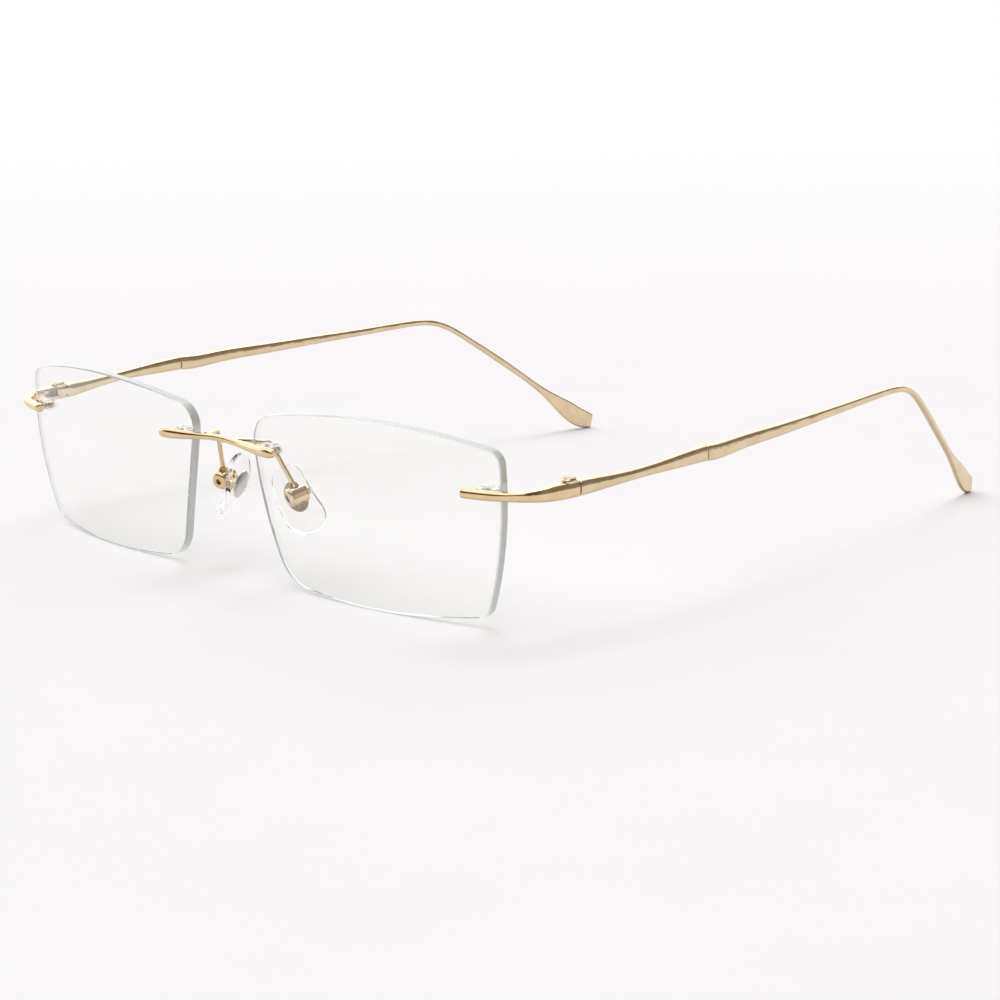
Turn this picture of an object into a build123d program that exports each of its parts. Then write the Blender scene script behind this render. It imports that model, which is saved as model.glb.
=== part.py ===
from build123d import *
import os

# Rimless eyeglasses with a clear trapezoid lens on each side of a bar bridge.
# Millimetres. +X is the wearer's left, -Y is forward and +Z is up. The frame stands open
# on its lens feet and temple tips at z = 0, and the origin is under the middle of its box.
# Every piece is drawn for the wearer's left, and the right one is its mirror image.

MIDDLE_Y = 71.949               # the origin, behind the plane that the bridge's front meets

# Lenses
LENS_CENTRE = (35.33, 2.0, 14.742)
WRAP = 5.1                      # degrees each lens turns back towards its temple
TILT = 5.4                      # degrees each lens leans, foot back
TOP_WIDTH = 55.0                # between the upper corners before rounding
FOOT_WIDTH = 43.8
SIDE_HEIGHT = 27.25
FOOT_SHIFT = 1.1                # foot of the lens towards the temple
TOP_RISE = 3.55
FOOT_RISE = 1.3
TEMPLE_BULGE = 1.9
NOSE_BULGE = 0.9
CORNER_RADII = {"top_nose": 4.7, "top_temple": 2.9, "foot_temple": 2.8, "foot_nose": 7.0}
FRONT_RADIUS = 110.0            # base curve of the front surface
LENS_THICK = 1.6
LENS_BEVEL = 0.18
SEAT_GAP = 0.03                 # air between metal and lens

# Twin-post mounts: places along the lens, measured from its centre
MOUNT_PITCH = 2.6               # between the two posts of a mount
NOSE_MOUNT = (-23.3, 8.92)
TEMPLE_MOUNT = (24.95, 7.22)
POST_R = 0.42
POST_ROOT = 1.0                 # how deep a post starts inside its bar
TUBE_R = 0.74
HOLE_R = 0.77
FLANGE_HEIGHT = 1.6
FLANGE_THICK = 1.5

# Hinges
HINGE_X = 68.05
HINGE_Y = 17.15
HINGE_Z = 22.66
BLOCK_WIDTH = 2.4
BLOCK_HEIGHT = 2.55
SEAM_Y = 18.3                   # end of the front; the temple butts here
SEAM_GAP = 0.22
SEAM_SOFT = 0.3                 # rounding of the ends that meet at a seam
KNUCKLE_R = 0.95
KNUCKLE_HEIGHT = 1.16
POCKET_DEPTH_Y = 5.0
BOSS_RISE = 0.48                # raised flat under the screw head
BOSS_SIZE = (1.9, 2.45)
BOSS_ROUND = 0.32
HINGE_SCREW_R = 0.48
HINGE_FIT = 0.04
SCREW_HEAD_R = 1.02
SCREW_HEAD_HEIGHT = 0.12

# Temple joint behind the hinge
RING_Y = 46.3
RING_GROOVE = 0.14
SPIGOT_R = 0.55
SPIGOT_LENGTH = 3.2

# Nose pads: a pad, its metal insert and a screwed box on a bent wire arm
PAD_PIVOT = (10.29, 10.48, 14.8)
PAD_SPLAY = 20.0
PAD_FRONTAL = 25.5
PAD_TWIST = 16.5
PAD_LENGTH = 12.7
PAD_WIDTH = 7.1
PAD_FACE = 3.5                  # crown of the nose face from the pad screw
PAD_BACK = 2.1                  # crown of the back face from the pad screw
PAD_FACE_RADIUS = 13.0
PAD_BACK_RADIUS = 15.0
PAD_CENTRE = (0.45, -0.6)       # behind and above the pad screw
PLATE_CENTRE = (0.7, 0.1)
PLATE_AT = 3.0                  # nose side of the plate from the pad screw
PLATE_WIDTH = 3.9
PLATE_HEIGHT = 5.6
PLATE_THICK = 0.45
TAB_THICK = 1.1
TAB_R = 0.98
BOX_TURN = 15.5                 # the box stands straighter than its pad
BOX_SIZE = (3.0, 3.6, 3.1)
BOX_ROUND = 1.2
BOX_END_ROUND = 0.65
PAD_SCREW_R = 0.52
PAD_SCREW_FIT = 0.05
WIRE_R = 0.41
WIRE_ROUTE = [(4.0, 1.9, 24.5), (7.69, 7.27, 24.0), (10.0, 10.03, 16.6)]
WIRE_BEND = 1.1
KNOT_AT = (0.18, -0.03)         # where the wire meets the top of its box

FRONT_SOFTNESS = 0.43           # corner radius of a front bar over its shorter side
TEMPLE_SOFTNESS = 0.28          # the same where a bar runs back
BARREL = 0.11                   # swell of a temple's sides over its shorter side


def place(x, y, z):
    """Point from x, the distance behind the bridge's front, and the height."""
    return Vector(x, y - MIDDLE_Y, z)


def save_pair(piece, name):
    """Write the wearer's left piece and its mirror image."""
    piece.part.label = f"{name}_left"
    export_step(piece.part, f"parts/{name}_left.step")
    with BuildPart() as twin:
        mirror(piece.part, about=Plane.YZ)
    twin.part.label = f"{name}_right"
    export_step(twin.part, f"parts/{name}_right.step")


def bar_plane(before, here, after):
    """Plane across a bar, with its x axis level and its normal along the bar."""
    along = (after - before).normalized()
    level = along.cross(Vector(0, 0, 1)).normalized()
    return Plane(origin=here, x_dir=level, z_dir=along)


def bar_sections(stations, first_way=None):
    """Planes and sizes across a bar from rows of x, y, z, height and thickness."""
    points = [place(*row[:3]) for row in stations]
    planes = []
    for i, here in enumerate(points):
        before = points[max(i - 1, 0)]
        after = points[min(i + 1, len(points) - 1)]
        planes.append(bar_plane(before, here, after))
    if first_way is not None:
        level = first_way.cross(Vector(0, 0, 1))
        planes[0] = Plane(origin=points[0], x_dir=level, z_dir=first_way)
    return [(plane, row[3], row[4]) for plane, row in zip(planes, stations)]


def section(plane, height, thick):
    """Soft rectangle across a bar, its sides barrelled where the bar runs back."""
    short = min(thick, height)
    back = abs(plane.z_dir.Y)
    swell = short * (0.01 + BARREL * back)
    softness = FRONT_SOFTNESS + (TEMPLE_SOFTNESS - FRONT_SOFTNESS) * back
    x = thick / 2 - swell
    y = height / 2
    with BuildSketch(plane) as shape:
        with BuildLine():
            SagittaArc((-x, -y), (-x, y), swell)
            Line((-x, y), (x, y))
            SagittaArc((x, y), (x, -y), swell)
            Line((x, -y), (-x, -y))
        make_face()
        fillet(shape.vertices(), softness * short)
    return shape.sketch


def lens_frame():
    """Plane on the lens centre: x to the temple, y up the lens, z out of its front."""
    pose = Plane(Rotation(TILT, 0, 0) * Rotation(0, 0, WRAP) * Plane.XZ.location)
    return Plane(origin=place(*LENS_CENTRE), x_dir=pose.x_dir, z_dir=pose.z_dir)


LENS_PLANE = lens_frame()


def lens_outline(grow):
    """Trapezoid with four arched sides and rounded corners."""
    half_top = TOP_WIDTH / 2
    half_foot = FOOT_WIDTH / 2
    half_side = SIDE_HEIGHT / 2
    corners = {
        "top_nose": Vector(-half_top, half_side),
        "top_temple": Vector(half_top, half_side),
        "foot_temple": Vector(half_foot + FOOT_SHIFT, -half_side),
        "foot_nose": Vector(-half_foot + FOOT_SHIFT, -half_side),
    }
    with BuildSketch() as outline:
        with BuildLine():
            SagittaArc(corners["top_nose"], corners["top_temple"], TOP_RISE)
            SagittaArc(corners["top_temple"], corners["foot_temple"], TEMPLE_BULGE)
            SagittaArc(corners["foot_temple"], corners["foot_nose"], FOOT_RISE)
            SagittaArc(corners["foot_nose"], corners["top_nose"], NOSE_BULGE)
        make_face()
        for name, corner in corners.items():
            fillet(outline.vertices().sort_by_distance(corner)[0], CORNER_RADII[name])
        if grow > 0:
            offset(amount=grow)
    return outline.sketch


def lens_blank(grow, front_grow):
    """Curved lens without holes, swollen by the two amounts."""
    centre = LENS_PLANE.from_local_coords(Vector(0, 0, -FRONT_RADIUS))
    with BuildPart() as blank:
        with BuildSketch(LENS_PLANE):
            add(lens_outline(grow))
        extrude(amount=10, both=True)
        with Locations(centre):
            Sphere(FRONT_RADIUS + front_grow, mode=Mode.INTERSECT)
            Sphere(FRONT_RADIUS - LENS_THICK - grow, mode=Mode.SUBTRACT)
    return blank


def mount_points(mount):
    """The two post places of a mount, on the lens plane."""
    u, v = mount
    return [(u - MOUNT_PITCH / 2, v), (u + MOUNT_PITCH / 2, v)]


def front_sag(u, v):
    """How far the front surface lies behind the lens plane."""
    return FRONT_RADIUS - (FRONT_RADIUS ** 2 - u ** 2 - v ** 2) ** 0.5


LENS_ROOM = lens_blank(0.15, SEAT_GAP)


def make_lens():
    """Clear lens with four mounting holes."""
    blank = lens_blank(0, 0)
    with BuildPart() as lens:
        add(blank.part)
        chamfer(lens.faces().filter_by(GeomType.SPHERE).edges(), LENS_BEVEL)
        for mount in (NOSE_MOUNT, TEMPLE_MOUNT):
            with BuildSketch(LENS_PLANE):
                with Locations(*mount_points(mount)):
                    Circle(HOLE_R)
            extrude(amount=12, both=True, mode=Mode.SUBTRACT)
    save_pair(lens, "lens")


def make_sleeve(mount, name):
    """Clear plastic plug: a flange behind the lens and two tubes through it."""
    u, v = mount
    rear = -front_sag(u, v) - LENS_THICK
    centre = LENS_PLANE.from_local_coords(Vector(0, 0, -FRONT_RADIUS))
    with BuildPart() as sleeve:
        with BuildSketch(LENS_PLANE.offset(rear - FLANGE_THICK)):
            with Locations((u, v)):
                SlotOverall(MOUNT_PITCH + FLANGE_HEIGHT, FLANGE_HEIGHT)
        extrude(amount=FLANGE_THICK + 1)
        with Locations(centre):
            Sphere(FRONT_RADIUS - LENS_THICK - SEAT_GAP, mode=Mode.INTERSECT)
        fillet(sleeve.faces().sort_by(Axis(LENS_PLANE.origin, LENS_PLANE.z_dir))[0].edges(), 0.3)
        with BuildSketch(LENS_PLANE.offset(rear - FLANGE_THICK / 2)):
            with Locations(*mount_points(mount)):
                Circle(TUBE_R)
        extrude(amount=FLANGE_THICK / 2 + LENS_THICK - 0.45)
        with BuildSketch(LENS_PLANE):
            with Locations(*mount_points(mount)):
                Circle(POST_R + 0.02)
        extrude(amount=12, both=True, mode=Mode.SUBTRACT)
    save_pair(sleeve, name)


def mount_posts(mount):
    """Two posts from a bar on the lens front, back through the sleeve."""
    u, v = mount
    front = -front_sag(u, v)
    with BuildPart() as posts:
        with BuildSketch(LENS_PLANE.offset(front + POST_ROOT)):
            with Locations(*mount_points(mount)):
                Circle(POST_R)
        extrude(amount=-(POST_ROOT + LENS_THICK + FLANGE_THICK * 0.8))
    return posts.part


def make_bridge():
    """Bar across both lenses, waisted between them, with paddle ends and four posts."""
    half = [
        (15.4, 0.95, 23.76, 0.75, 0.8),
        (15.12, 0.92, 23.76, 1.25, 1.2),
        (14.35, 0.9, 23.76, 1.64, 1.5),
        (12.0, 1.05, 23.8, 1.7, 1.55),
        (8.7, 1.4, 23.92, 1.45, 1.45),
        (5.6, 1.65, 24.12, 1.12, 1.3),
        (2.5, 1.8, 24.32, 1.05, 1.25),
    ]
    other = [(-row[0],) + row[1:] for row in reversed(half)]
    with BuildPart() as bridge:
        loft([section(*row) for row in bar_sections(half + other)])
        add(LENS_ROOM.part, mode=Mode.SUBTRACT)
        mirror(LENS_ROOM.part, about=Plane.YZ, mode=Mode.SUBTRACT)
        add(mount_posts(NOSE_MOUNT))
        mirror(mount_posts(NOSE_MOUNT), about=Plane.YZ)
    bridge.part.label = "bridge"
    export_step(bridge.part, "parts/bridge.step")
    return bridge


def make_endpiece():
    """Bar from the lens front round its edge to the hinge, with a pocket for the temple."""
    stations = [
        (56.8, 4.6, 22.48, 1.55, 1.6),
        (59.6, 5.33, 22.45, 1.6, 1.6),
        (62.7, 6.3, 22.45, 1.5, 1.55),
        (65.6, 7.8, 22.53, 1.58, 1.6),
        (67.4, 10.3, 22.57, 2.0, 1.9),
        (68.0, 13.0, 22.6, 2.42, 2.2),
        (68.2, 16.2, HINGE_Z - 0.03, BLOCK_HEIGHT, BLOCK_WIDTH),
        (68.25, SEAM_Y, HINGE_Z, BLOCK_HEIGHT, BLOCK_WIDTH),
    ]
    pivot = place(HINGE_X, HINGE_Y, HINGE_Z)
    pocket_height = KNUCKLE_HEIGHT + 2 * HINGE_FIT
    with BuildPart() as endpiece:
        loft([section(*row) for row in bar_sections(stations)])
        fillet(endpiece.faces().sort_by(Axis.X)[0].edges(), 0.38)
        fillet(endpiece.faces().sort_by(Axis.Y)[-1].edges(), SEAM_SOFT)
        add(LENS_ROOM.part, mode=Mode.SUBTRACT)
        add(mount_posts(TEMPLE_MOUNT))
        with BuildPart(mode=Mode.PRIVATE) as boss:
            with BuildSketch(Plane.XY.offset(HINGE_Z + BLOCK_HEIGHT / 2 + BOSS_RISE)):
                with Locations(place(68.2, HINGE_Y - 0.22, 0)):
                    RectangleRounded(*BOSS_SIZE, 0.8)
            extrude(amount=-1.1)
            fillet(boss.edges().group_by(Axis.Z)[-1], BOSS_ROUND)
        add(boss.part)
        with BuildSketch(Plane.XY.offset(HINGE_Z - pocket_height / 2)):
            with Locations(place(HINGE_X + KNUCKLE_R + 0.06, SEAM_Y + 1, 0)):
                Rectangle(5, POCKET_DEPTH_Y + 1, align=(Align.MAX, Align.MAX))
        extrude(amount=pocket_height, mode=Mode.SUBTRACT)
        with BuildSketch(Plane.XY.offset(HINGE_Z - 3)):
            with Locations(place(HINGE_X, HINGE_Y, 0)):
                Rectangle(3, 3, align=(Align.MAX, Align.MIN))
                Circle(SEAM_Y - HINGE_Y, mode=Mode.SUBTRACT)
        extrude(amount=6, mode=Mode.SUBTRACT)
        with BuildSketch(Plane(origin=pivot)):
            Circle(HINGE_SCREW_R + 0.02)
        extrude(amount=5, both=True, mode=Mode.SUBTRACT)
    save_pair(endpiece, "endpiece")


def make_hinge_screw():
    """Vertical screw with a slotted head on top of the hinge."""
    top = HINGE_Z + BLOCK_HEIGHT / 2 + BOSS_RISE
    foot = HINGE_Z - BLOCK_HEIGHT / 2
    with BuildPart() as screw:
        with BuildSketch(Plane(origin=place(HINGE_X, HINGE_Y, foot + 0.1))):
            Circle(HINGE_SCREW_R)
        extrude(amount=top - foot)
        with BuildSketch(Plane(origin=place(HINGE_X, HINGE_Y, top + 0.02))):
            Circle(SCREW_HEAD_R)
        extrude(amount=SCREW_HEAD_HEIGHT)
        fillet(screw.edges().group_by(Axis.Z)[-1], 0.07)
        with BuildSketch(Plane(origin=place(HINGE_X, HINGE_Y, top + SCREW_HEAD_HEIGHT + 0.02))):
            Rectangle(3, 0.3, rotation=35)
        extrude(amount=-0.14, mode=Mode.SUBTRACT)
    save_pair(screw, "hinge_screw")


def make_temple_front():
    """Waisted front of the temple, with the hinge tongue and the spigot for the rear arm."""
    start = SEAM_Y + SEAM_GAP
    stations = [
        (68.25, start, HINGE_Z, BLOCK_HEIGHT, BLOCK_WIDTH),
        (68.75, 22.3, 22.86, 2.24, 2.1),
        (69.5, 26.8, 23.16, 1.78, 1.68),
        (70.0, 31.0, 23.48, 1.63, 1.55),
        (70.2, 36.0, 23.82, 1.88, 1.66),
        (70.12, 41.2, 24.12, 2.3, 1.85),
        (69.95, RING_Y, 24.33, 2.58, 1.98),
    ]
    sections = bar_sections(stations, first_way=Vector(0, 1, 0))
    ring_plane = sections[-1][0]
    tongue_z = HINGE_Z - KNUCKLE_HEIGHT / 2
    with BuildPart() as front:
        loft([section(*row) for row in sections])
        fillet(front.faces().sort_by(Axis.Y)[0].edges(), SEAM_SOFT)
        fillet(front.faces().sort_by(Axis.Y)[-1].edges(), SEAM_SOFT)
        extrude(section(ring_plane, 2.1, 1.5), amount=RING_GROOVE)
        with BuildSketch(ring_plane):
            Circle(SPIGOT_R)
        extrude(amount=RING_GROOVE + SPIGOT_LENGTH)
        with BuildSketch(Plane.XY.offset(tongue_z)):
            with Locations(place(HINGE_X, HINGE_Y, 0)):
                Circle(KNUCKLE_R)
            with Locations(place(HINGE_X, HINGE_Y, 0)):
                Rectangle(2 * KNUCKLE_R, start + 0.6 - HINGE_Y, align=(Align.CENTER, Align.MIN))
        extrude(amount=KNUCKLE_HEIGHT)
        with BuildSketch(Plane(origin=place(HINGE_X, HINGE_Y, HINGE_Z))):
            Circle(HINGE_SCREW_R + HINGE_FIT)
        extrude(amount=5, both=True, mode=Mode.SUBTRACT)
    save_pair(front, "temple_front")
    return ring_plane


def make_temple_arm(ring_plane):
    """Slim rear arm that tapers, bends down over the ear and ends in a flat paddle."""
    start = ring_plane.origin + ring_plane.z_dir * (RING_GROOVE + 0.01)
    start_row = (start.X, start.Y + MIDDLE_Y, start.Z, 2.66, 2.04)
    stations = [
        start_row,
        (69.3, 55.0, 24.6, 2.38, 1.95),
        (68.3, 65.0, 24.97, 2.05, 1.8),
        (67.0, 76.0, 25.37, 1.72, 1.6),
        (65.3, 88.5, 25.85, 1.38, 1.4),
        (63.95, 98.5, 26.27, 1.2, 1.25),
        (63.2, 104.3, 26.35, 1.1, 1.15),
        (62.6, 108.0, 25.9, 1.08, 1.1),
        (61.85, 111.3, 24.65, 1.08, 1.1),
        (60.6, 115.4, 22.0, 1.1, 1.1),
        (57.3, 124.6, 15.15, 1.25, 1.1),
        (54.35, 133.45, 8.05, 1.9, 1.05),
        (53.65, 135.69, 6.2, 2.85, 1.0),
        (52.9, 138.07, 4.25, 3.75, 0.97),
        (52.15, 140.45, 2.52, 3.95, 0.95),
        (51.5, 142.45, 1.67, 3.45, 0.95),
        (51.2, 143.45, 1.42, 2.75, 0.95),
    ]
    sections = bar_sections(stations, first_way=ring_plane.z_dir)
    with BuildPart() as arm:
        loft([section(*row) for row in sections])
        fillet(arm.faces().sort_by(Axis.Y)[0].edges(), SEAM_SOFT)
        with BuildSketch(ring_plane):
            Circle(SPIGOT_R + 0.01)
        extrude(amount=RING_GROOVE + SPIGOT_LENGTH + 0.1, mode=Mode.SUBTRACT)
        fillet(arm.faces().sort_by(Axis.Y)[-1].edges(), 0.25)
    save_pair(arm, "temple_arm")


def pad_frame():
    """Plane on the pad screw: x away from the nose, y back along the screw, z up the pad."""
    pose = Rotation(0, 0, -PAD_SPLAY) * Rotation(0, -PAD_FRONTAL, 0) * Rotation(PAD_TWIST, 0, 0)
    turned = Plane(pose)
    return Plane(origin=place(*PAD_PIVOT), x_dir=turned.x_dir, z_dir=turned.z_dir)


def box_frame():
    """The pad's plane turned about the pad screw until the box stands on its wire."""
    screw = Axis((0, 0, 0), PAD_PLANE.y_dir)
    x_dir = PAD_PLANE.x_dir.rotate(screw, BOX_TURN)
    z_dir = PAD_PLANE.z_dir.rotate(screw, BOX_TURN)
    return Plane(origin=PAD_PLANE.origin, x_dir=x_dir, z_dir=z_dir)


PAD_PLANE = pad_frame()
BOX_PLANE = box_frame()


def across_screw(y, frame=BOX_PLANE):
    """Plane square to the pad screw, y behind the pivot, its y axis down the frame."""
    origin = frame.from_local_coords(Vector(0, y, 0))
    return Plane(origin=origin, x_dir=frame.x_dir, z_dir=frame.y_dir)


def facing_nose(x):
    """Plane parallel to the pad, its normal to the nose, its y axis up the pad."""
    origin = PAD_PLANE.from_local_coords(Vector(x, 0, 0))
    return Plane(origin=origin, x_dir=-PAD_PLANE.y_dir, z_dir=-PAD_PLANE.x_dir)


def make_pad_box():
    """Small box on the end of the pad arm, open below and towards the nose."""
    width, depth, height = BOX_SIZE
    slot = TAB_THICK + 0.16
    with BuildPart() as box:
        with BuildSketch(across_screw(-depth / 2)):
            RectangleRounded(width, height, BOX_ROUND)
        extrude(amount=depth)
        fillet(box.faces().sort_by(Axis(PAD_PLANE.origin, PAD_PLANE.y_dir))[0].edges(), BOX_END_ROUND)
        fillet(box.faces().sort_by(Axis(PAD_PLANE.origin, PAD_PLANE.y_dir))[-1].edges(), BOX_END_ROUND)
        with BuildSketch(across_screw(-slot / 2)):
            with Locations((TAB_R + 0.12 - width, height - TAB_R - 0.12)):
                Rectangle(2 * width, 2 * height)
        extrude(amount=slot, mode=Mode.SUBTRACT)
        with BuildSketch(BOX_PLANE.offset(height / 2 - 0.05)):
            with Locations(KNOT_AT):
                Circle(0.95)
        extrude(amount=0.75, taper=25)
        with BuildSketch(across_screw(-depth)):
            Circle(PAD_SCREW_R + 0.03)
        extrude(amount=2 * depth, mode=Mode.SUBTRACT)
    save_pair(box, "pad_box")
    return box


def make_pad_screw():
    """Screw through the pad box, its head at the back and its end sunk at the front."""
    depth = BOX_SIZE[1]
    with BuildPart() as screw:
        with BuildSketch(across_screw(0.45 - depth / 2)):
            Circle(PAD_SCREW_R)
        extrude(amount=depth - 0.35)
        with BuildSketch(across_screw(depth / 2 + 0.02)):
            Circle(0.72)
        extrude(amount=0.5)
        fillet(screw.edges().sort_by(Axis(PAD_PLANE.origin, PAD_PLANE.y_dir))[-1], 0.15)
        with BuildSketch(across_screw(depth / 2 + 0.3)):
            Rectangle(3, 0.24)
        extrude(amount=1, mode=Mode.SUBTRACT)
    save_pair(screw, "pad_screw")


def plate_and_neck(grow):
    """Oval plate of the insert and the neck that reaches it, swollen by grow."""
    back, rise = PLATE_CENTRE
    with BuildPart() as plate:
        with BuildSketch(facing_nose(PLATE_THICK - PLATE_AT + grow)):
            with Locations((-back, rise)):
                Ellipse(PLATE_WIDTH / 2 + grow, PLATE_HEIGHT / 2 + grow)
        extrude(amount=PLATE_THICK + 2 * grow)
        with BuildSketch(facing_nose(0.3 - TAB_R)):
            Rectangle(TAB_THICK + 2 * grow, 1.5 + 2 * grow)
        extrude(amount=PLATE_AT - PLATE_THICK / 2 + 0.3 - TAB_R)
    return plate.part


def make_pad_insert():
    """Metal tab on the pad screw that carries the oval plate inside the pad."""
    with BuildPart() as insert:
        add(plate_and_neck(0))
        with BuildSketch(across_screw(-TAB_THICK / 2)):
            Circle(TAB_R)
        extrude(amount=TAB_THICK)
        with BuildSketch(across_screw(-2)):
            Circle(PAD_SCREW_R + PAD_SCREW_FIT)
        extrude(amount=4, mode=Mode.SUBTRACT)
    save_pair(insert, "pad_insert")


def make_nose_pad():
    """Soft clear drop-shaped shell, domed towards the nose, moulded round the insert's plate."""
    back, rise = PAD_CENTRE
    wide_r = PAD_WIDTH / 2
    narrow_r = wide_r * 0.8
    low = rise - PAD_LENGTH / 2 + wide_r
    high = rise + PAD_LENGTH / 2 - narrow_r
    face_centre = PAD_PLANE.from_local_coords(Vector(PAD_FACE_RADIUS - PAD_FACE, back, rise))
    back_centre = PAD_PLANE.from_local_coords(Vector(PAD_BACK_RADIUS - PAD_BACK, back, rise))
    with BuildPart() as pad:
        with BuildSketch(facing_nose(2)):
            with Locations((-back, low)):
                Circle(wide_r)
            with Locations((-back, high)):
                Circle(narrow_r)
            make_hull()
        extrude(amount=7)
        with Locations(face_centre):
            Sphere(PAD_FACE_RADIUS, mode=Mode.INTERSECT)
        with Locations(back_centre):
            Sphere(PAD_BACK_RADIUS, mode=Mode.SUBTRACT)
        domes = pad.faces().filter_by(GeomType.SPHERE).sort_by(Axis(PAD_PLANE.origin, -PAD_PLANE.x_dir))
        fillet(domes[0].edges(), 0.3)
        domes = pad.faces().filter_by(GeomType.SPHERE).sort_by(Axis(PAD_PLANE.origin, -PAD_PLANE.x_dir))
        fillet(domes[-1].edges(), 0.5)
        add(plate_and_neck(0.03), mode=Mode.SUBTRACT)
    save_pair(pad, "nose_pad")


def make_pad_arm(bridge, box):
    """Bent wire from the back of the bridge down to the pad box."""
    with BuildPart() as arm:
        with BuildLine() as route:
            FilletPolyline(*[place(*point) for point in WIRE_ROUTE], radius=WIRE_BEND)
        with BuildSketch(Plane(origin=route.line @ 0, z_dir=route.line % 0)):
            Circle(WIRE_R)
        sweep()
        add(bridge.part, mode=Mode.SUBTRACT)
        add(box.part, mode=Mode.SUBTRACT)
    save_pair(arm, "pad_arm")


os.makedirs("parts", exist_ok=True)
make_lens()
make_sleeve(NOSE_MOUNT, "nose_sleeve")
make_sleeve(TEMPLE_MOUNT, "temple_sleeve")
bridge = make_bridge()
make_endpiece()
make_hinge_screw()
make_temple_arm(make_temple_front())
pad_box = make_pad_box()
make_pad_screw()
make_pad_insert()
make_nose_pad()
make_pad_arm(bridge, pad_box)
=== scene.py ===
import math

import bpy
from mathutils import Matrix, Vector

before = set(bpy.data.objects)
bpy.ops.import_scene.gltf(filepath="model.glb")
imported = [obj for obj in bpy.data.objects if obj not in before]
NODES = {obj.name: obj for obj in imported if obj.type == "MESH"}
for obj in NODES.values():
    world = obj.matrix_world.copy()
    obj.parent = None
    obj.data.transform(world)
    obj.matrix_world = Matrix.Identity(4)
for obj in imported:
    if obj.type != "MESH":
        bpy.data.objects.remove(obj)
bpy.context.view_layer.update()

# Metres. The frame faces -Y, stands on z = 0 and its hinges fold about vertical pins.
MM = 0.001

# Camera: low, from the wearer's front left
AZIMUTH = math.radians(45.404)
ELEVATION = math.radians(11.762)
ROLL = math.radians(-0.809)
DISTANCE = 0.493006
TARGET = Vector((0.019983, -0.011965, 0.010123))
FOCAL_MM = 98.88
SENSOR_MM = 36.0
SHIFT = (-0.0488, -0.0160)

# Sockets of a colour mix node, which has one set for each kind of data
MIX_AMOUNT = 0
MIX_COLOURS = (6, 7)
MIX_RESULT = 2

RAY_SAMPLES = 6                 # of the edge and hollow finders

# Studio
FLOOR_SIZE = 16.0
CLIP = (0.01, 50.0)
WORLD_LIGHT = 1.53
WHITE = (0.98, 0.983, 1.0)
TAUPE = (0.17, 0.155, 0.13)
BROWN = (0.07, 0.045, 0.028)
DIM_SIDE = (0.8, 0.45, 0.35)
SUN_FROM = (-0.25, 0.35, 0.9)
SUN_LIGHT = 0.62
SUN_ANGLE = math.radians(26.0)

SCENE = bpy.context.scene


# ---------------------------------------------------------------- node tree helpers


class Tree:
    """Short calls for the nodes of a material or of the world."""

    def __init__(self, tree):
        self.tree = tree

    def add(self, kind, **settings):
        """A new node with some of its settings."""
        node = self.tree.nodes.new(kind)
        for key, value in settings.items():
            setattr(node, key, value)
        return node

    def join(self, source, target):
        self.tree.links.new(source, target)

    def feed(self, value, target):
        """Links a socket, or sets a plain value."""
        if isinstance(value, bpy.types.NodeSocket):
            self.join(value, target)
        else:
            target.default_value = value

    def math(self, kind, first, second=0.0, clamp=False):
        """One value, or two, added, multiplied and so on."""
        node = self.add("ShaderNodeMath", operation=kind, use_clamp=clamp)
        self.feed(first, node.inputs[0])
        self.feed(second, node.inputs[1])
        return node.outputs[0]

    def along(self, vector, way):
        """How far a vector points one way."""
        node = self.add("ShaderNodeVectorMath", operation="DOT_PRODUCT")
        self.join(vector, node.inputs[0])
        node.inputs[1].default_value = Vector(way).normalized()
        return node.outputs["Value"]

    def span(self, value, low, high, to_low=0.0, to_high=1.0, smooth=False):
        """Value from low..high to to_low..to_high, held at the ends."""
        node = self.add("ShaderNodeMapRange")
        if smooth:
            node.interpolation_type = "SMOOTHSTEP"
        self.feed(value, node.inputs["Value"])
        node.inputs["From Min"].default_value = low
        node.inputs["From Max"].default_value = high
        node.inputs["To Min"].default_value = to_low
        node.inputs["To Max"].default_value = to_high
        return node.outputs["Result"]

    def blend(self, amount, first, second):
        """Mix of two colours."""
        node = self.add("ShaderNodeMix", data_type="RGBA")
        self.feed(amount, node.inputs[MIX_AMOUNT])
        for value, index in zip((first, second), MIX_COLOURS):
            if isinstance(value, bpy.types.NodeSocket):
                self.join(value, node.inputs[index])
            else:
                node.inputs[index].default_value = (*value, 1.0)
        return node.outputs[MIX_RESULT]


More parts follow.
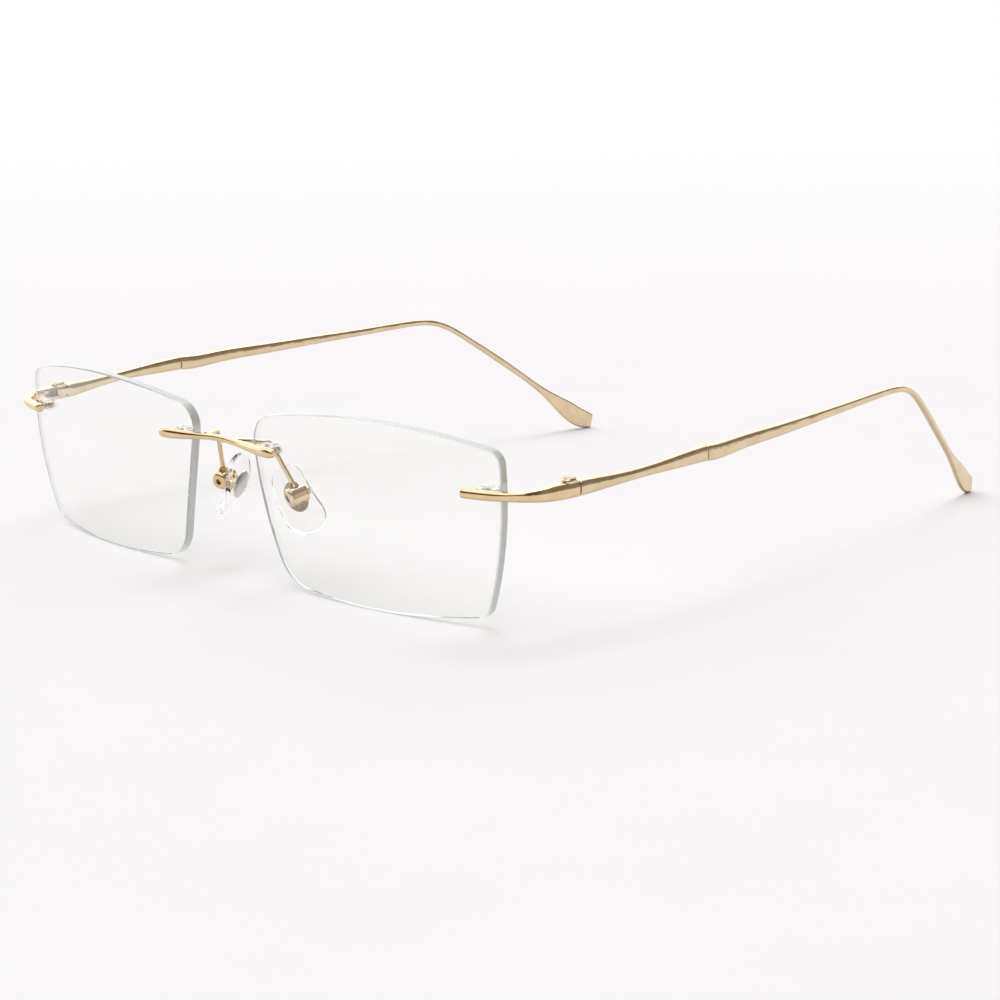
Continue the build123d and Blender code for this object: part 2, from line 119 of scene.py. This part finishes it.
class Surface(Tree):
    """A material with its Principled shader and the patterns that feed it."""

    def __init__(self, name):
        self.material = bpy.data.materials.new(name)
        self.material.use_nodes = True
        super().__init__(self.material.node_tree)
        self.tree.nodes.clear()
        self.shader = self.add("ShaderNodeBsdfPrincipled")
        self.output = self.add("ShaderNodeOutputMaterial")
        self.join(self.shader.outputs[0], self.output.inputs["Surface"])
        self.place = self.add("ShaderNodeTexCoord").outputs["Object"]

    def set(self, **values):
        """Sets or links the shader's sockets; an underscore stands for a space."""
        for key, value in values.items():
            self.feed(value, self.shader.inputs[key.replace("_", " ")])

    def scaled(self, stretch):
        """Object place, stretched."""
        node = self.add("ShaderNodeMapping")
        self.join(self.place, node.inputs["Vector"])
        node.inputs["Scale"].default_value = stretch
        return node.outputs[0]

    def noise(self, per_mm, detail=3.0, rough=0.5, stretch=(1, 1, 1), distortion=0.0):
        """Noise with so many waves a millimetre."""
        node = self.add("ShaderNodeTexNoise")
        self.join(self.scaled(stretch), node.inputs["Vector"])
        node.inputs["Scale"].default_value = per_mm / MM
        node.inputs["Detail"].default_value = detail
        node.inputs["Roughness"].default_value = rough
        node.inputs["Distortion"].default_value = distortion
        return node.outputs["Fac"]

    def cells(self, per_mm, stretch=(1, 1, 1)):
        """Cell distances with so many cells a millimetre."""
        node = self.add("ShaderNodeTexVoronoi", feature="F1")
        self.join(self.scaled(stretch), node.inputs["Vector"])
        node.inputs["Scale"].default_value = per_mm / MM
        return node.outputs["Distance"]

    def bump(self, height, depth_mm, strength=1.0, under=None):
        """Normal from a height of so many millimetres."""
        node = self.add("ShaderNodeBump")
        node.inputs["Strength"].default_value = strength
        node.inputs["Distance"].default_value = depth_mm * MM
        self.join(height, node.inputs["Height"])
        if under is not None:
            self.join(under, node.inputs["Normal"])
        return node.outputs[0]

    def edges(self, radius_mm):
        """How close a point is to an outer edge, 0 to 1."""
        bevel = self.add("ShaderNodeBevel", samples=RAY_SAMPLES)
        bevel.inputs["Radius"].default_value = radius_mm * MM
        geometry = self.add("ShaderNodeNewGeometry")
        dot = self.add("ShaderNodeVectorMath", operation="DOT_PRODUCT")
        self.join(bevel.outputs[0], dot.inputs[0])
        self.join(geometry.outputs["Normal"], dot.inputs[1])
        return self.span(dot.outputs["Value"], 0.99, 0.8, smooth=True)

    def hollows(self, reach_mm):
        """How sheltered a point is, 0 to 1."""
        node = self.add("ShaderNodeAmbientOcclusion", samples=RAY_SAMPLES)
        node.inputs["Distance"].default_value = reach_mm * MM
        return self.span(node.outputs["AO"], 0.75, 0.2, smooth=True)

    def parts(self, vector):
        """The x, y and z sockets of a vector."""
        node = self.add("ShaderNodeSeparateXYZ")
        self.join(vector, node.inputs[0])
        return node.outputs

    def facing(self, axis):
        """One part of the normal."""
        return self.parts(self.add("ShaderNodeNewGeometry").outputs["Normal"])[axis]

    def clear_to_lamps(self, tint):
        """Lets lamplight through the glass, tinted."""
        path = self.add("ShaderNodeLightPath")
        clear = self.add("ShaderNodeBsdfTransparent")
        self.feed(tint, clear.inputs[0])
        mix = self.add("ShaderNodeMixShader")
        self.join(path.outputs["Is Shadow Ray"], mix.inputs[0])
        self.join(self.shader.outputs[0], mix.inputs[1])
        self.join(clear.outputs[0], mix.inputs[2])
        self.join(mix.outputs[0], self.output.inputs["Surface"])


def dress(names, material):
    """Gives a material to every CAD node whose name starts with one of the names."""
    for name, node in NODES.items():
        if name.startswith(tuple(names)):
            node.data.materials.clear()
            node.data.materials.append(material)


# ---------------------------------------------------------------- materials


def gold(name, deep, pale, worn, rough, grain_stretch=(1, 1, 1)):
    """Plated metal: cloudy colour, fine polishing lines, worn bright edges, painted shade on downward
    faces, and hollows painted dark as shade and made rougher.
    """
    t = Surface(name)
    clouds = t.noise(0.35, detail=4.0, rough=0.6)
    colour = t.blend(t.span(clouds, 0.35, 0.65, smooth=True), deep, pale)
    fine = t.noise(6.0, detail=2.0, stretch=grain_stretch)
    colour = t.blend(t.span(fine, 0.55, 0.8, 0.0, 0.25), colour, worn)
    edge = t.edges(0.12)
    patches = t.span(t.noise(1.6, detail=3.0), 0.4, 0.62)
    wear = t.math("MULTIPLY", edge, patches)
    colour = t.blend(t.math("MULTIPLY", wear, 0.7), colour, worn)
    # Painted shade: faces that turn downwards are darkened, standing in for the shadowed floor they
    # mirror.
    under = t.span(t.facing("Z"), -0.15, -0.8, 0.0, 0.6)
    colour = t.blend(under, colour, tuple(part * 0.55 for part in deep))
    # Painted shade: sheltered hollows are darkened towards a deep brown, and below they are also made
    # rougher.
    hollow = t.hollows(0.7)
    hollow_shade_colour = (deep[0] * 0.3, deep[1] * 0.22, deep[2] * 0.14)
    colour = t.blend(t.math("MULTIPLY", hollow, 0.85), colour, hollow_shade_colour)
    roughness = t.span(clouds, 0.3, 0.7, rough * 0.75, rough * 1.25)
    roughness = t.math("ADD", roughness, t.span(fine, 0.4, 0.8, 0.0, 0.06))
    roughness = t.math("ADD", roughness, t.math("MULTIPLY", hollow, 0.2), clamp=True)
    waves = t.bump(t.noise(0.8, detail=1.0), 0.012, 0.25)
    normal = t.bump(fine, 0.004, 0.35, under=waves)
    t.set(Base_Color=colour, Metallic=1.0, Roughness=roughness, Normal=normal)
    return t.material


def lens_glass():
    """Clear lens, its faces a touch green, with a ground and frosted edge."""
    t = Surface("lens")
    rim = t.span(t.math("ABSOLUTE", t.facing("Y")), 0.86, 0.6, smooth=True)
    haze = t.noise(0.05, detail=2.0)
    face = t.blend(t.span(haze, 0.3, 0.7), (0.982, 0.995, 0.98), (0.99, 0.998, 0.986))
    ground = t.noise(5.0, detail=3.0, rough=0.7)
    lines = t.noise(1.4, detail=2.0, stretch=(2.5, 2.5, 0.12))
    edge = t.blend(t.span(ground, 0.35, 0.65), (0.83, 0.87, 0.83), (0.91, 0.935, 0.905))
    edge = t.blend(t.span(lines, 0.42, 0.6, 0.0, 0.55), edge, (0.975, 0.98, 0.97))
    smear = t.span(t.noise(0.12, detail=5.0, rough=0.7), 0.45, 0.75, 0.0, 0.012)
    frost = t.math("MULTIPLY", rim, t.span(ground, 0.3, 0.7, 0.25, 0.42))
    t.set(Base_Color=t.blend(rim, face, edge), Roughness=t.math("ADD", smear, frost))
    t.set(Normal=t.bump(t.math("MULTIPLY", ground, rim), 0.02, 0.3))
    t.set(Transmission_Weight=t.math("SUBTRACT", 1.0, t.math("MULTIPLY", rim, 0.72)))
    t.set(IOR=1.5, Specular_IOR_Level=0.42)
    t.clear_to_lamps(t.blend(rim, (0.97, 0.972, 0.968), (0.55, 0.57, 0.55)))
    return t.material


def clear_plastic(name, tint, rough, ior, dents_mm, clear):
    """Moulded clear plastic with flow marks and a slightly uneven skin."""
    t = Surface(name)
    flow = t.noise(0.5, detail=3.0, stretch=(1, 1, 2.5), distortion=0.6)
    pale = tuple(min(1.0, part * 1.03) for part in tint)
    t.set(Base_Color=t.blend(t.span(flow, 0.35, 0.65), tint, pale))
    skin = t.noise(3.0, detail=2.0)
    t.set(Roughness=t.span(skin, 0.3, 0.7, rough * 0.6, rough * 1.5))
    t.set(Normal=t.bump(flow, dents_mm, 0.5), Transmission_Weight=clear, IOR=ior)
    t.clear_to_lamps((*(0.3 + 0.68 * part for part in tint), 1.0))
    return t.material


def stamped_insert():
    """Gold plate with a stamped grain, its nose side pale behind the pad's skin."""
    t = Surface("insert_metal")
    grain = t.cells(2.6, stretch=(1, 1, 0.45))
    speckle = t.noise(3.5, detail=4.0, rough=0.7)
    side = t.math("MULTIPLY", t.facing("X"), t.parts(t.place)["X"])
    nose = t.span(side, -0.002, -0.0045)
    gilt = t.blend(t.span(grain, 0.1, 0.55), (0.74, 0.52, 0.26), (0.93, 0.80, 0.56))
    gilt = t.blend(t.span(speckle, 0.5, 0.7, 0.0, 0.5), gilt, (0.55, 0.36, 0.18))
    nose = t.math("MULTIPLY", nose, t.math("SUBTRACT", 1.0, t.edges(0.12)))
    pale = t.blend(t.span(speckle, 0.42, 0.62), (0.97, 0.965, 0.95), (0.88, 0.86, 0.81))
    t.set(Base_Color=t.blend(nose, gilt, pale), Metallic=t.span(nose, 0.0, 1.0, 1.0, 0.15))
    t.set(Roughness=t.math("ADD", t.span(speckle, 0.3, 0.7, 0.2, 0.4), t.math("MULTIPLY", nose, 0.2)))
    t.set(Normal=t.bump(t.math("ADD", grain, speckle), 0.05, 0.55))
    return t.material


def floor_material():
    """Matt white sweep, with painted light: a touch brighter far away."""
    t = Surface("floor")
    mottle = t.noise(0.02, detail=3.0)
    near = t.blend(t.span(mottle, 0.3, 0.7), (0.868, 0.854, 0.862), (0.876, 0.865, 0.872))
    place = t.parts(t.place)
    # Painted light: the floor is made paler further behind the frame, away from the camera.
    behind = t.math("SUBTRACT", place["Y"], place["X"])
    t.set(Base_Color=t.blend(t.span(behind, 0.15, 1.3, smooth=True), near, (0.93, 0.93, 0.93)))
    t.set(Roughness=t.span(mottle, 0.3, 0.7, 0.85, 0.95), Specular_IOR_Level=0.0)
    t.set(Normal=t.bump(t.noise(1.2, detail=3.0), 0.01, 0.1))
    return t.material


# ---------------------------------------------------------------- camera, lights and floor


def make_camera():
    """Perspective camera at the fitted place."""
    away = Vector((math.sin(AZIMUTH) * math.cos(ELEVATION),
                   -math.cos(AZIMUTH) * math.cos(ELEVATION),
                   math.sin(ELEVATION)))
    right = Vector((math.cos(AZIMUTH), math.sin(AZIMUTH), 0.0))
    up = away.cross(right)
    rolled = right * math.cos(ROLL) + up * math.sin(ROLL)
    upright = away.cross(rolled)
    data = bpy.data.cameras.new("camera")
    data.lens = FOCAL_MM
    data.sensor_width = SENSOR_MM
    data.shift_x, data.shift_y = SHIFT
    data.clip_start, data.clip_end = CLIP
    camera = bpy.data.objects.new("camera", data)
    turn = Matrix((rolled, upright, away)).transposed().to_4x4()
    camera.matrix_world = Matrix.Translation(TARGET + away * DISTANCE) @ turn
    SCENE.collection.objects.link(camera)
    SCENE.camera = camera


def make_sun():
    """Wide soft light from above and behind, so that shadows fall towards the camera."""
    data = bpy.data.lights.new("sun", "SUN")
    data.energy = SUN_LIGHT
    data.angle = SUN_ANGLE
    sun = bpy.data.objects.new("sun", data)
    sun.rotation_euler = Vector(SUN_FROM).to_track_quat("Z", "Y").to_euler()
    SCENE.collection.objects.link(sun)


def make_world():
    """White studio with a dim side for the temples to mirror and a low dark belt for the front."""
    world = bpy.data.worlds.new("studio")
    world.use_nodes = True
    SCENE.world = world
    t = Tree(world.node_tree)
    back = t.tree.nodes["Background"]
    toward = t.add("ShaderNodeTexCoord").outputs["Generated"]
    height = t.along(toward, (0, 0, 1))
    dim_side = t.span(t.along(toward, DIM_SIDE), 0.42, 0.6, smooth=True)
    sides = (
        t.span(height, 0.7, 0.5, smooth=True),
        t.span(t.along(toward, (-0.7, 0.72, 0)), 0.3, 0.12, smooth=True),
        t.span(t.along(toward, (0, -1, 0)), -0.2, 0.2, smooth=True),
    )
    belt = t.span(height, 0.0, 0.04, smooth=True)
    for side in sides:
        belt = t.math("MULTIPLY", belt, side)
    colour = t.blend(belt, t.blend(dim_side, WHITE, TAUPE), BROWN)
    t.join(colour, back.inputs["Color"])
    back.inputs["Strength"].default_value = WORLD_LIGHT


def make_floor():
    """Wide pale floor at z = 0."""
    bpy.ops.mesh.primitive_plane_add(size=FLOOR_SIZE)
    floor = bpy.context.object
    floor.name = "floor"
    floor.data.materials.append(floor_material())


# ---------------------------------------------------------------- the scene

make_camera()
make_world()
make_floor()
make_sun()

dress(["bridge", "endpiece", "pad_arm", "pad_box"],
      gold("gold_metal", (0.74, 0.56, 0.32), (0.80, 0.63, 0.40), (0.90, 0.80, 0.62), 0.11))
dress(["temple_front", "temple_arm"],
      gold("gold_temple", (0.72, 0.57, 0.36), (0.78, 0.64, 0.43), (0.90, 0.81, 0.66), 0.14, (3, 0.3, 3)))
# Screws: a deeper gold-brown than the frame, partly their own gold-washed tone and partly painted shade
# for the dark slot and recess.
dress(["hinge_screw", "pad_screw"],
      gold("screw_metal", (0.55, 0.42, 0.27), (0.66, 0.53, 0.37), (0.86, 0.76, 0.6), 0.24))
dress(["pad_insert"], stamped_insert())
dress(["lens"], lens_glass())
dress(["nose_pad"], clear_plastic("pad_clear", (0.965, 0.96, 0.95), 0.05, 1.25, 0.03, 1.0))
dress(["nose_sleeve", "temple_sleeve"],
      clear_plastic("sleeve_clear", (0.98, 0.98, 0.975), 0.18, 1.25, 0.03, 0.82))

SCENE.view_settings.view_transform = "Standard"
